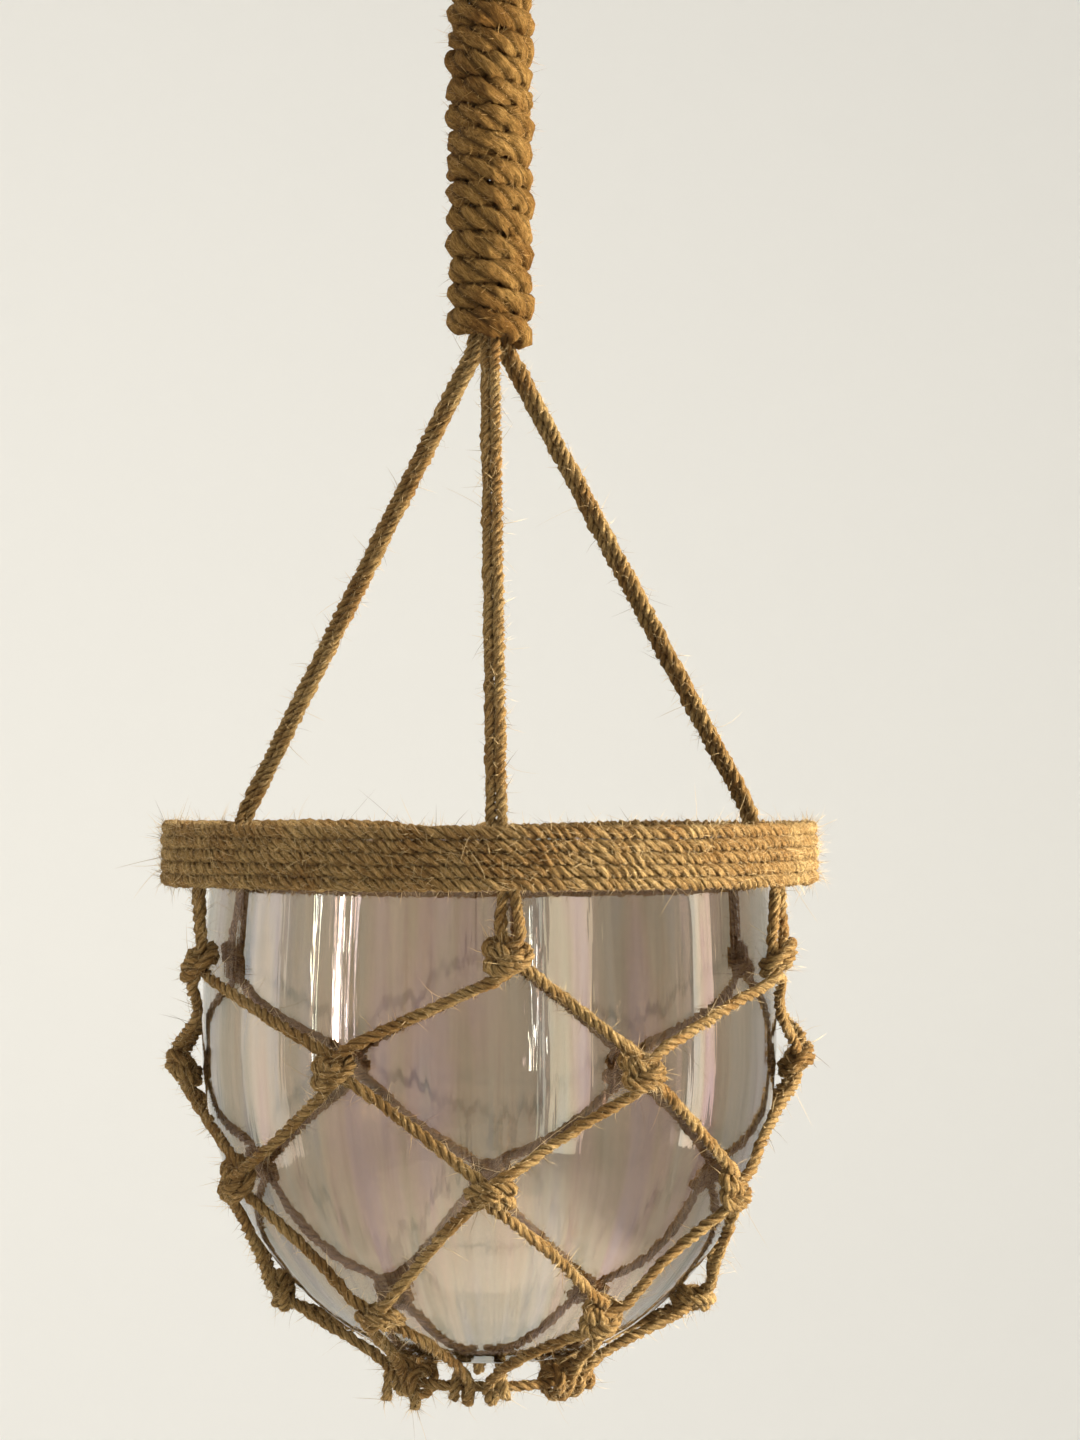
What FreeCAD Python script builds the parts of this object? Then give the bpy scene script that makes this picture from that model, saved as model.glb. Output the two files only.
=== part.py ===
# Hanging planter: a blown glass bowl in a knotted cord net, hung from a rope-bound column of cords.
#
# The origin is the bearing point under the top of the hanging loop, where a hook carries the planter.
# +Z is up, -Y is the front and +X is to the right. Angles run round +Z from the front towards +X.
import FreeCAD, Part
import math
import os

Vector = FreeCAD.Vector

# Cord and rope
cord_diameter = 4.6
cord_sides = 5
rope_height = 10.2
rope_depth = 8.5
rope_sides = 6
rope_turn_gap = 0.4
seat_gap = 0.3
strand_gap = 0.25
bundle_cords = 6
bundle_first_angle = 30.0

# Hanging loop and rope column
loop_height = 37.0
loop_half_width = 14.3
loop_shoulder_drop = 13.0
loop_haunch_drop = 3.7
loop_haunch_share = 0.72
loop_crown_share = 0.28
column_turns = 16
column_sections_per_turn = 10

# Hangers
hanger_drop = 193.0
hanger_angles = {"front": 2.0, "right": 117.0, "left": -121.0}

# Rim: the bound hoop at the net's mouth
binding_turns = 5
binding_pitch = 4.75
binding_sections_per_turn = 30
binding_start_angle = -150.0
binding_jog_span = 60.0
hoop_thickness = 2.5
hoop_height = 17.0
hoop_below_binding_top = 6.0
fold_gap = 0.5
fold_depth = 15.0
fold_half_width = 5.0
fold_end_half_width = 2.0
fold_end_rise = 3.0
fold_corner = 1.7

# Glass bowl
glass_height = 205.0
glass_wall = 3.0
glass_floor = 4.0
belly_radius = 114.6
belly_height = 123.0
base_radius = 37.1
mouth_draw_in = 5.1
rim_below_binding = 5.0
belly_arc_split = 0.4
heel_fillet = 2.5
floor_fillet = 7.0

# Net: each knot is (angle, share of the glass height below its rim), from the front to the right.
# Odd rows sit on the six columns, even rows between them.
knot_rows = [
    [(4, 0.205), (65, 0.230), (120, 0.234), (180, 0.236), (-120, 0.234), (-65, 0.234)],
    [(28.5, 0.415), (87, 0.437), (150, 0.435), (-150, 0.440), (-87, 0.452), (-27.5, 0.413)],
    [(1, 0.632), (57, 0.655), (119, 0.645), (180, 0.642), (-121, 0.640), (-57, 0.636)],
    [(31, 0.884), (89, 0.900), (150, 0.896), (-150, 0.892), (-90, 0.890), (-28.5, 0.880)],
]
ring_beyond_base = 0.9
ring_straight_half_angle = 17.0
hitch_angles = [-5, 54, 124, 180, -120, -56]
spans_between_knots = 3
span_bow = 0.6

# A knot's left-hand strand, in cord widths to the right, up the bowl and out from it.
# It runs down the knot's core, turns out below and binds both strands once.
# The right-hand strand is the same path turned half round, so each strand binds the other.
knot_strand = [
    (-0.5, 1.9, 0.0),
    (-0.5, -1.15, 0.0),
    (-0.3, -1.95, 0.7),
    (0.75, -1.55, 1.2),
    (1.75, -0.8, 0.3),
    (1.15, -0.52, -1.1),
    (-0.85, -0.52, -1.15),
    (-1.8, -0.75, -0.15),
]
knot_back_reach = 1.7

# Where the right-hand strand bends above its first knot, in cord widths
first_bend_side = 1.05
first_bend_rise = 2.6

# A hitch's turns round the base ring: the angle step, and the sideways reach of the turns in cord widths
hitch_start = 20.0
hitch_step = 45.0
hitch_steps = 8
hitch_first_side = 0.55
hitch_pitch = 1.2

# How close two sizes read off a shape are when they are the same
tolerance = 0.05


def polygon_reach(sides):
    """The corner radius of a polygon that has a unit circle's area, so that a cord keeps its section."""
    return math.sqrt(2 * math.pi / (sides * math.sin(2 * math.pi / sides)))


# Worked out from the sizes above: cord and rope
cord_radius = cord_diameter / 2
cord_reach = cord_radius * polygon_reach(cord_sides)
strand_spacing = 2 * cord_reach + strand_gap
columns = len(hitch_angles)

# Levels, from the top down
column_bore_radius = strand_spacing + cord_reach + seat_gap
column_top = -loop_height
column_length = column_turns * rope_height
column_bottom = column_top - column_length
binding_top = column_bottom - hanger_drop
hoop_top = binding_top - hoop_below_binding_top
fold_level = hoop_top + seat_gap + cord_reach
glass_rim = binding_top - rim_below_binding
glass_base = glass_rim - glass_height
belly_level = glass_base + belly_height

# Bowl and base ring
mouth_radius = belly_radius - mouth_draw_in
belly_depth = belly_height / math.sqrt(1 - (base_radius / belly_radius) ** 2)
ring_radius = base_radius + ring_beyond_base
hitch_radius = (2 * cord_reach + seat_gap) / math.cos(math.radians(hitch_step / 2))
ring_level = glass_base - seat_gap - cord_reach - hitch_radius


def outward(angle):
    """The level unit vector that points away from the axis at an angle from the front."""
    turn = math.radians(angle)
    return Vector(math.sin(turn), -math.cos(turn), 0)


def sideways(angle):
    """The level unit vector that points to increasing angles."""
    turn = math.radians(angle)
    return Vector(math.cos(turn), math.sin(turn), 0)


def wall_radius(level, stand_off):
    """The radius, at a level, of the surface that stands a distance off the bowl's outer wall."""
    if level < belly_level:
        depth = belly_depth + stand_off
        share = min(1.0, (belly_level - level) / depth)
        return (belly_radius + stand_off) * math.sqrt(1 - share * share)
    rise = glass_rim - belly_level
    narrowing = belly_radius - mouth_radius
    arc_radius = (rise * rise + narrowing * narrowing) / (2 * narrowing)
    return belly_radius + stand_off - arc_radius + math.sqrt(arc_radius ** 2 - (level - belly_level) ** 2)


def wall_lean(level):
    """How far the bowl's wall faces downwards at a level, in radians."""
    step = 0.5
    return math.atan2(wall_radius(level + step, 0) - wall_radius(level - step, 0), 2 * step)


# The rim's radii, from the bowl outwards: folded cords, hoop, the net's strands, binding
fold_radius = wall_radius(fold_level - fold_depth - cord_reach, 0) + fold_gap + cord_reach
hoop_inner_radius = fold_radius + cord_reach + seat_gap
hoop_outer_radius = hoop_inner_radius + hoop_thickness
strand_radius = hoop_outer_radius + seat_gap + cord_reach
binding_radius = strand_radius + cord_reach + seat_gap + cord_reach

# Solids from sections


def solid_from_sections(sections, flat_sides, closed=False):
    """Joins equal polygons in order. Sides that aren't flat are split along a diagonal."""
    count = len(sections[0])
    faces = []
    pairs = list(zip(sections, sections[1:]))
    if closed:
        pairs.append((sections[-1], sections[0]))
    for first, second in pairs:
        for index in range(count):
            after = (index + 1) % count
            corners = [first[index], first[after], second[after], second[index]]
            if flat_sides:
                outlines = [corners]
            else:
                outlines = [corners[:3], [corners[0], corners[2], corners[3]]]
            for outline in outlines:
                faces.append(Part.Face(Part.makePolygon(outline + outline[:1])))
    if not closed:
        for end in (sections[0], sections[-1]):
            faces.append(Part.Face(Part.makePolygon(end + end[:1])))
    solid = Part.Solid(Part.Shell(faces))
    if solid.Volume < 0:
        solid.reverse()
    return solid


def mitred_sections(route, diameter, sides, closed=False):
    """A cord's section at each point of a route of straight runs, mitred where the route turns."""
    reach = diameter / 2 * polygon_reach(sides)
    directions = [(after - point).normalize() for point, after in zip(route, route[1:])]
    if closed:
        directions.append((route[0] - route[-1]).normalize())
    first = directions[0]
    steep = 0.9
    helper = Vector(0, 0, 1) if abs(first.z) < steep else Vector(0, 1, 0)
    across = first.cross(helper).normalize()
    along = first.cross(across).normalize()
    corners = []
    for index in range(sides):
        turn = 2 * math.pi * (index + 0.5) / sides
        corners.append(route[0] + across * (reach * math.cos(turn)) + along * (reach * math.sin(turn)))
    if closed:
        corners = slid_to_plane(corners, first, route[0], directions[-1] + first)
    sections = [corners]
    for index in range(1, len(route)):
        before = directions[index - 1]
        turned = before + directions[index] if index < len(directions) else before
        corners = slid_to_plane(corners, before, route[index], turned)
        sections.append(corners)
    return sections


def slid_to_plane(corners, direction, point, normal):
    """Slides each corner along a direction until it meets a plane."""
    slope = direction.dot(normal)
    return [corner + direction * ((point - corner).dot(normal) / slope) for corner in corners]


def cord_solid(route, diameter=cord_diameter, sides=cord_sides, closed=False):
    return solid_from_sections(mitred_sections(route, diameter, sides, closed), True, closed)


def standing_section(centre, angle, depth, height, sides):
    """A cord's section that stands in the plane through the axis at an angle."""
    reach = polygon_reach(sides) / 2
    corners = []
    for index in range(sides):
        turn = 2 * math.pi * index / sides
        out = outward(angle) * (depth * reach * math.cos(turn))
        corners.append(centre + out + Vector(0, 0, height * reach * math.sin(turn)))
    return corners


# Glass bowl


def glass_bowl():
    """A revolved wall: flat base, elliptical belly, an upper wall that draws in a little, rounded lip."""

    def at(radius, level):
        return Vector(radius, 0, level)

    def wall_edges(stand_off, low):
        """The belly's and upper wall's edges from a level up to the rim."""
        edges = []
        stops = [low, low + (belly_level - low) * belly_arc_split, belly_level, glass_rim]
        for start, end in zip(stops, stops[1:]):
            levels = (start, (start + end) / 2, end)
            points = [at(wall_radius(level, stand_off), level) for level in levels]
            edges.append(Part.Arc(*points).toShape())
        return edges

    outer = wall_edges(0, glass_base)
    inner = wall_edges(-glass_wall, glass_base + glass_floor)
    lip_middle = at(mouth_radius - glass_wall / 2, glass_rim + glass_wall / 2)
    lip_end = at(mouth_radius - glass_wall, glass_rim)
    lip = Part.Arc(at(mouth_radius, glass_rim), lip_middle, lip_end).toShape()
    base_corner = at(wall_radius(glass_base, 0), glass_base)
    floor_level = glass_base + glass_floor
    floor_corner = at(wall_radius(floor_level, -glass_wall), floor_level)
    base = Part.makeLine(at(0, glass_base), base_corner)
    floor = Part.makeLine(floor_corner, at(0, floor_level))
    axis = Part.makeLine(at(0, floor_level), at(0, glass_base))
    profile = Part.Wire([base] + outer + [lip] + inner[::-1] + [floor, axis])
    bowl = Part.Face(profile).revolve(Vector(0, 0, 0), Vector(0, 0, 1), 360)
    heel = circle_edges(bowl, base_corner)
    bowl = bowl.makeFillet(heel_fillet, heel)
    return bowl.makeFillet(floor_fillet, circle_edges(bowl, floor_corner))


def circle_edges(shape, point):
    """The shape's level round edges that pass through a point's radius and level."""
    found = []
    for edge in shape.Edges:
        box = edge.BoundBox
        level = abs(box.ZMin - point.z) < tolerance and abs(box.ZMax - point.z) < tolerance
        if level and abs(box.XMax - point.x) < tolerance:
            found.append(edge)
    return found


# Rim


def rim_hoop():
    """A flat strip bent to a hoop, hidden between the binding and the bowl."""
    low = hoop_top - hoop_height
    outer = Part.makeCylinder(hoop_outer_radius, hoop_height, Vector(0, 0, low))
    return outer.cut(Part.makeCylinder(hoop_inner_radius, hoop_height, Vector(0, 0, low)))


def rim_binding():
    """One cord wound round the hoop. Its turns lie level and step down together at the back."""
    level_span = 360 - binding_jog_span
    total = 360 * binding_turns - binding_jog_span
    count = round(total / 360 * binding_sections_per_turn)
    top = binding_top - cord_radius
    sections = []
    for index in range(count + 1):
        swept = total * index / count
        turn = int(swept // 360)
        jog = max(0.0, (swept - 360 * turn - level_span) / binding_jog_span)
        level = top - binding_pitch * (turn + jog)
        angle = binding_start_angle + swept
        centre = outward(angle) * binding_radius + Vector(0, 0, level)
        sections.append(standing_section(centre, angle, cord_diameter, cord_diameter, cord_sides))
    return solid_from_sections(sections, False)


# Rope column


def rope_column():
    """Thick rope wound downwards in one layer round the bundle of hanger cords."""
    count = (column_turns - 1) * column_sections_per_turn
    clear_radius = column_bore_radius + rope_depth / 2 * polygon_reach(rope_sides)
    radius = clear_radius / math.cos(math.pi / column_sections_per_turn)
    sections = []
    for index in range(count + 1):
        share = index / count
        angle = -360 * (column_turns - 1) * share
        level = column_top - rope_height / 2 - (column_length - rope_height) * share
        centre = outward(angle) * radius + Vector(0, 0, level)
        section = standing_section(centre, angle, rope_depth, rope_height - rope_turn_gap, rope_sides)
        sections.append(section)
    return solid_from_sections(sections, False)


# Net


def knot_frame(angle, share, on_wall=True):
    """A knot's middle, with the directions to the right, up along the bowl and out from it."""
    level = glass_rim - share * glass_height
    lean = wall_lean(level) if on_wall else 0.0
    radius = wall_radius(level, knot_back_reach * strand_spacing + seat_gap)
    if not on_wall:
        radius = max(radius, strand_radius)
    out = outward(angle) * math.cos(lean) - Vector(0, 0, math.sin(lean))
    right = sideways(angle)
    up = out.cross(right)
    return outward(angle) * radius + Vector(0, 0, level), right, up, out


def knot_points(row, place, right_hand):
    """One strand's way through a knot, from top to bottom."""
    angle, share = knot_rows[row][place % columns]
    middle, right, up, out = knot_frame(angle, share, row > 0)
    points = []
    path = [(-u, -v, w) for u, v, w in reversed(knot_strand)] if right_hand else knot_strand
    for u, v, w in path:
        offset = right * u + up * v + out * w
        points.append(middle + offset * strand_spacing)
    return points


def polar(point):
    """A point's angle from the front, its level, and its radius."""
    angle = math.degrees(math.atan2(point.x, -point.y))
    return angle, point.z, math.hypot(point.x, point.y)


def span_points(start, end):
    """Points between two knots, where the cord lies on the bowl."""
    angle_a, level_a, radius_a = polar(start)
    angle_b, level_b, radius_b = polar(end)
    swing = (angle_b - angle_a + 180) % 360 - 180
    rest = cord_reach + seat_gap + span_bow
    points = []
    for index in range(1, spans_between_knots):
        share = index / spans_between_knots
        level = level_a + (level_b - level_a) * share
        radius = wall_radius(max(level, glass_base), rest)
        points.append(outward(angle_a + swing * share) * radius + Vector(0, 0, level))
    return points


def hitch_points(place, right_hand):
    """One strand's turn and a bit round the base ring, from the outside inwards."""
    angle = hitch_angles[place % columns]
    radius = ring_radius * math.cos(math.radians(ring_straight_half_angle))
    centre = outward(angle) * radius + Vector(0, 0, ring_level)
    side = sideways(angle) * (1 if right_hand else -1)
    points = []
    for index in range(hitch_steps):
        turn = math.radians(hitch_start - hitch_step * index)
        offset = hitch_first_side + hitch_pitch * index * hitch_step / 360
        around = outward(angle) * math.cos(turn) + Vector(0, 0, math.sin(turn))
        points.append(centre + around * hitch_radius + side * (offset * strand_spacing))
    return points


def net_strand(column, right_hand):
    """One strand of a column from the rim down through four knots to the base ring."""
    route = []
    start_angle = knot_rows[0][column][0]
    offset = strand_spacing / 2 * (1 if right_hand else -1)
    top_level = glass_rim - knot_rows[0][column][1] * glass_height
    start = outward(start_angle) * strand_radius + sideways(start_angle) * offset
    route.append(start + Vector(0, 0, (binding_top + top_level) / 2))
    if right_hand:
        bend_level = top_level + first_bend_rise * strand_spacing
        bend_side = sideways(start_angle) * (first_bend_side * strand_spacing)
        route.append(start + bend_side + Vector(0, 0, bend_level))
    for row in range(len(knot_rows)):
        if row % 2 == 0:
            place = column
            strand_is_right = right_hand
        else:
            place = column if right_hand else column - 1
            strand_is_right = not right_hand
        points = knot_points(row, place, strand_is_right)
        if row > 0:
            route += span_points(route[-1], points[0])
        route += points
    points = hitch_points(column, right_hand)
    route += span_points(route[-1], points[0])
    return route + points


# Hanger cords and hoop cords


def bundle_point(place, level):
    """A cord's place in the ring of six inside the rope column."""
    angle = bundle_first_angle + 360 / bundle_cords * place
    return outward(angle) * strand_spacing + Vector(0, 0, level)


def hanger_points(hanger, right_hand, place):
    """One hanger cord from inside the rope column down to behind the binding."""
    angle = hanger_angles[hanger]
    offset = sideways(angle) * (strand_spacing / 2 * (1 if right_hand else -1))
    foot = outward(angle) * strand_radius + offset
    return [
        bundle_point(place, column_top),
        bundle_point(place, column_bottom),
        foot + Vector(0, 0, binding_top),
    ]


def loop_arch(place_left):
    """The arch of one long cord above the rope column, from its left leg to its right leg."""
    spread = strand_spacing / abs(bundle_point(0, column_top).y)
    depth = bundle_point(place_left, column_top).y * spread
    half_steps = [
        (1.0, -loop_shoulder_drop),
        (loop_haunch_share, -loop_haunch_drop),
        (loop_crown_share, cord_reach),
    ]
    arch = [Vector(-loop_half_width * share, depth, level) for share, level in half_steps]
    arch += [Vector(-point.x, point.y, point.z) for point in reversed(arch)]
    return arch


def long_cord(left_end, right_end):
    """Net strand, hanger, loop arch, hanger and net strand in one cord.

    Each end is (hanger, column, right-hand strand, place in the bundle).
    """
    halves = []
    for hanger, column, right_hand, place in (left_end, right_end):
        halves.append(hanger_points(hanger, right_hand, place) + net_strand(column, right_hand))
    place_left = left_end[-1]
    return halves[0][::-1] + loop_arch(place_left) + halves[1]


def hoop_cord(column):
    """A cord folded over the hoop's top edge behind the binding. Both halves go down into the net."""
    angle = knot_rows[0][column][0]
    low = fold_level - fold_depth
    half = strand_spacing / 2
    steps = [
        (fold_end_half_width, fold_radius, low),
        (fold_half_width, fold_radius, low + fold_end_rise),
        (fold_half_width, fold_radius, fold_level - fold_corner),
        (fold_half_width, fold_radius + fold_corner, fold_level),
        (half, strand_radius - fold_corner, fold_level),
        (half, strand_radius, fold_level - fold_corner),
    ]
    halves = []
    for right_hand in (False, True):
        hand = 1 if right_hand else -1
        fold = []
        for side, radius, level in steps:
            fold.append(outward(angle) * radius + sideways(angle) * (side * hand) + Vector(0, 0, level))
        halves.append(fold + net_strand(column, right_hand))
    return halves[0][::-1] + halves[1]


def base_ring():
    """The closed cord under the bowl that the net is hitched to."""
    points = []
    for angle in sorted(angle % 360 for angle in hitch_angles):
        for step in (-ring_straight_half_angle, ring_straight_half_angle):
            points.append(outward(angle + step) * ring_radius + Vector(0, 0, ring_level))
    return cord_solid(points, closed=True)


parts = {
    "glass_bowl": glass_bowl(),
    "rim_hoop": rim_hoop(),
    "rim_binding": rim_binding(),
    "rope_column": rope_column(),
    "base_ring": base_ring(),
    "hanger_cord_front": cord_solid(long_cord(("front", 0, False, 5), ("front", 0, True, 0))),
    "hanger_cord_middle": cord_solid(long_cord(("left", 4, True, 4), ("right", 2, False, 1))),
    "hanger_cord_back": cord_solid(long_cord(("left", 4, False, 3), ("right", 2, True, 2))),
    "hoop_cord_right": cord_solid(hoop_cord(1)),
    "hoop_cord_back": cord_solid(hoop_cord(3)),
    "hoop_cord_left": cord_solid(hoop_cord(5)),
}

os.makedirs("parts", exist_ok=True)
for name, shape in parts.items():
    shape.exportStep(f"parts/{name}.step")
    print(name, "valid" if shape.isValid() else "NOT VALID", round(shape.Volume), "mm3")
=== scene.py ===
import math

import bpy
import numpy as np
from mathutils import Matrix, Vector, noise


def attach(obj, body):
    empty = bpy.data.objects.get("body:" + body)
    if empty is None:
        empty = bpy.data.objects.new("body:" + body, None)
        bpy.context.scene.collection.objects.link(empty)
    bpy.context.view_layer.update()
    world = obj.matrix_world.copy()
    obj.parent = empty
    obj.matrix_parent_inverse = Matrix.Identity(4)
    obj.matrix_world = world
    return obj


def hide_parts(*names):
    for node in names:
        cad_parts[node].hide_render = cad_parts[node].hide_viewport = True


METRE = 1000.0

# The chance in the knots and the wound turns is the same on every run
noise_seed = 7

# Lengths and gaps below this count as nothing
nearly_nothing = 1e-6

# Cord and rope
cord_diameter = 4.6
cord_sides = 5
rope_height = 10.2
rope_depth = 8.5
seat_gap = 0.3
strand_gap = 0.25
bundle_cords = 6
bundle_first_angle = 30.0

# Hanging loop and rope column
loop_height = 37.0
loop_half_width = 14.3
loop_shoulder_drop = 13.0
loop_haunch_drop = 3.7
loop_haunch_share = 0.72
loop_crown_share = 0.28
column_turns = 16
column_points_per_turn = 16

# Hangers
hanger_drop = 193.0
hanger_angles = {"front": 2.0, "right": 117.0, "left": -121.0}

# Rim
binding_turns = 5
binding_pitch = 4.75
binding_points_per_turn = 24
binding_start_angle = -150.0
binding_jog_span = 60.0
hoop_thickness = 2.5
hoop_below_binding_top = 6.0
fold_gap = 0.5
fold_depth = 15.0
fold_half_width = 5.0
fold_end_half_width = 2.0
fold_end_rise = 3.0
fold_corner = 1.7

# Glass bowl
glass_height = 205.0
glass_wall = 3.0
glass_floor = 4.0
belly_radius = 114.6
belly_height = 123.0
base_radius = 37.1
mouth_draw_in = 5.1
rim_below_binding = 5.0
heel_round = 2.5
floor_round = 7.0

# Net: each knot is (angle, share of the glass height below its rim), from the front to the right.
# Odd rows sit on the six columns, even rows between them.
knot_rows = [
    [(4, 0.205), (65, 0.230), (120, 0.234), (180, 0.236), (-120, 0.234), (-65, 0.234)],
    [(28.5, 0.415), (87, 0.437), (150, 0.435), (-150, 0.440), (-87, 0.452), (-27.5, 0.413)],
    [(1, 0.632), (57, 0.655), (119, 0.645), (180, 0.642), (-121, 0.640), (-57, 0.636)],
    [(31, 0.884), (89, 0.900), (150, 0.896), (-150, 0.892), (-90, 0.890), (-28.5, 0.880)],
]
ring_beyond_base = 0.9
ring_straight_half_angle = 17.0
hitch_angles = [-5, 54, 124, 180, -120, -56]
spans_between_knots = 3
span_bow = 0.6

# A knot: the width of its cords once drawn tight, and in those widths how far its middle stands off
# the bowl and how far each strand is part of the knot. In the first row the upper legs hang straight.
knot_unit = 5.15
knot_back_reach = 1.4
knot_extent = 2.3
first_row_extent = 1.7
knot_stretch = (1.28, 0.82, 0.87)
knot_tilt = 12.0
knot_flip_above = 0.12
knot_swell = 0.08
hitch_start = 20.0
hitch_step = 45.0
hitch_steps = 10
hitch_first_side = 0.55
hitch_pitch = 1.1

# A cord's cut end below the ring: its length, how far it leans outwards and how far it drops
short_tail = (2.2, -1.4, 0.5)
long_tail = (7.0, 0.3, 1.5)
long_tail_column = 5
tail_spread = 0.4
tail_wander = 0.6

# Where in the noise each knot and each cut end takes its chance
knot_chance_steps = (3.7, 2.9)
knot_chance_start = (0.3, 0.6, 1.5)
tail_chance_step = 5.3
tail_chance_start = (0.4, 0.6)
tail_chance_hands = (8.1, 2.7)

# Near an edge a taut cord gets a point this many diameters along its straight run
edge_run = 4.0

# The two cords of a pair press on each other
pair_spacing = 4.35
taut_spacing = 3.75
taut_depth = 2.4
neck_spacing = 3.8

# How far the wound turns wander from a true coil
binding_drift = 0.8
binding_drift_rate = 3.0
binding_drift_step = 0.3
binding_bump = 1.1
binding_bump_span = 3.2
column_drift = 0.7
column_drift_rate = 0.21
column_end_points = 5

# How each end of the binding is tucked in: degrees past the end, depth in diameters, turns up or down
binding_tuck = [(8, 0.1, 0.15), (15, 0.55, 0.5), (22, 0.95, 0.8)]

# The knot's simulation, in widths of its cord: the open knot that it starts from
loose_size = 1.1
loose_depth = 1.6
loose_opening = 0.35
loose_points = 120
loose_apart = 0.55
loose_tail = [(0.0, 9.0, 0.3), (0.0, 4.0, 0.3), (-0.2, 0.6, 0.2)]
tail_bend = 2.6
link = 0.34

# How it is drawn: the four ends move out, turn apart and the cords are squeezed together
draw_steps = 2200
draw_speed = 0.35
fastest_move = 0.35
spread_from = 0.05
spread_over = 0.3
leg_angle = 48.0
leg_back = -0.03
squeeze_from = 0.5
squeeze_over = 0.3
touching_width = 0.80
squeezed_width = 0.70
back_wall = -1.6
easing = 0.12
contact_push = 0.35
passes = 10
search_every = 10
search_reach_squared = 4.8
own_contact_from = 1.15

# Cord and rope as they are drawn: turns and steps in millimetres, sizes as shares of the solids'
cord_pitch = 13.0
rope_pitch = 30.0
cord_step = 1.6
rope_step = 1.1
binding_fullness = (1.06, 1.19)
rope_fullness = (1.1, 1.06)
spline_steps = 24
strands = 3
strand_reach = 0.40
points_per_strand = 5
strand_swell = 0.08
strand_swell_lengths = (11.0, 23.0, 47.0)
fibre_rough = 0.09
pitch_wander = 0.12
wander_pitches = (2.3, 5.1)
end_bulge = 1 / 6

# Loose fibres. Root is how far out from the cord's middle they start, as a share of its radius.
long_fibre = {"length": 2.6, "bends": 1, "lean": 0.9, "curl": 0.9, "root": 0.72}
rope_fibre = {**long_fibre, "length": 2.4}
nap_fibre = {"length": 1.7, "bends": 0, "lean": 1.8, "curl": 0.9, "root": 0.86}
loop_fibre = {**long_fibre, "length": 4.6, "bends": 4, "curl": 1.5}
tuft_fibre = {**long_fibre, "length": 1.8, "lean": 2.0}
tuft_width = 3.6
tuft_points = 4
fibre_thickness = 0.19
fibre_thinnest = 0.6
fibre_thickest = 1.3
fibre_taper = 0.55
fibre_sides = 3
fibre_shortest = 0.4
fibre_longest = 3
fibre_wobble = 0.35
least_curl = 0.25
curl_outwards = 0.2

# The glass as it is drawn: its wall waves in narrow streaks and slow swells
glass_segments = 144
wall_rows = 34
lip_steps = 8
flat_rings = (0.35, 0.7)
glass_wave = 0.35
streak_rate = 4.5
streak_length = 160.0
swell_rate = 1.3
swell_length = 55.0
swell_start = 9
wave_fade = 1.2

# Worked out from the sizes above
cord_radius = cord_diameter / 2
columns = len(hitch_angles)


def polygon_reach(sides):
    """The corner radius of a polygon that has a unit circle's area, as the solids use it."""
    return math.sqrt(2 * math.pi / (sides * math.sin(2 * math.pi / sides)))


cord_reach = cord_radius * polygon_reach(cord_sides)
strand_spacing = 2 * cord_reach + strand_gap
column_bore_radius = strand_spacing + cord_reach + seat_gap
column_top = -loop_height
column_length = column_turns * rope_height
column_bottom = column_top - column_length
binding_top = column_bottom - hanger_drop
hoop_top = binding_top - hoop_below_binding_top
fold_level = hoop_top + seat_gap + cord_reach
glass_rim = binding_top - rim_below_binding
glass_base = glass_rim - glass_height
belly_level = glass_base + belly_height
mouth_radius = belly_radius - mouth_draw_in
belly_depth = belly_height / math.sqrt(1 - (base_radius / belly_radius) ** 2)
ring_radius = base_radius + ring_beyond_base
hitch_radius = (2 * cord_reach + seat_gap) / math.cos(math.radians(hitch_step / 2))
ring_level = glass_base - seat_gap - cord_reach - hitch_radius


def outward(angle):
    """The level unit vector that points away from the axis at an angle from the front."""
    turn = math.radians(angle)
    return Vector((math.sin(turn), -math.cos(turn), 0))


def sideways(angle):
    """The level unit vector that points to increasing angles."""
    turn = math.radians(angle)
    return Vector((math.cos(turn), math.sin(turn), 0))


def up(level):
    return Vector((0, 0, level))


def wall_radius(level, stand_off):
    """The radius, at a level, of the surface that stands a distance off the bowl's outer wall."""
    if level < belly_level:
        depth = belly_depth + stand_off
        share = min(1.0, (belly_level - level) / depth)
        return (belly_radius + stand_off) * math.sqrt(1 - share * share)
    rise = glass_rim - belly_level
    narrowing = belly_radius - mouth_radius
    arc_radius = (rise * rise + narrowing * narrowing) / (2 * narrowing)
    return belly_radius + stand_off - arc_radius + math.sqrt(arc_radius ** 2 - (level - belly_level) ** 2)


def wall_lean(level):
    """How far the bowl's wall faces downwards at a level, in radians."""
    step = 0.5
    return math.atan2(wall_radius(level + step, 0) - wall_radius(level - step, 0), 2 * step)


# The rim's radii, from the bowl outwards: folded cords, hoop, the net's strands, binding
fold_radius = wall_radius(fold_level - fold_depth - cord_reach, 0) + fold_gap + cord_reach
hoop_inner_radius = fold_radius + cord_reach + seat_gap
strand_radius = hoop_inner_radius + hoop_thickness + seat_gap + cord_reach
binding_radius = strand_radius + cord_reach + seat_gap + cord_reach


# Lines of points


def unit(vectors):
    return vectors / np.maximum(np.linalg.norm(vectors, axis=-1, keepdims=True), nearly_nothing)


def distances(points):
    """How far along its line each point is."""
    steps = np.linalg.norm(np.diff(points, axis=0), axis=1)
    return np.concatenate([[0], np.cumsum(steps)])


def evenly_spaced(points, spacing):
    """The same line with its points a set distance apart."""
    travelled = distances(points)
    places = np.linspace(0, travelled[-1], max(2, round(travelled[-1] / spacing)) + 1)
    return np.stack([np.interp(places, travelled, points[:, axis]) for axis in range(3)], axis=1)


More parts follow.
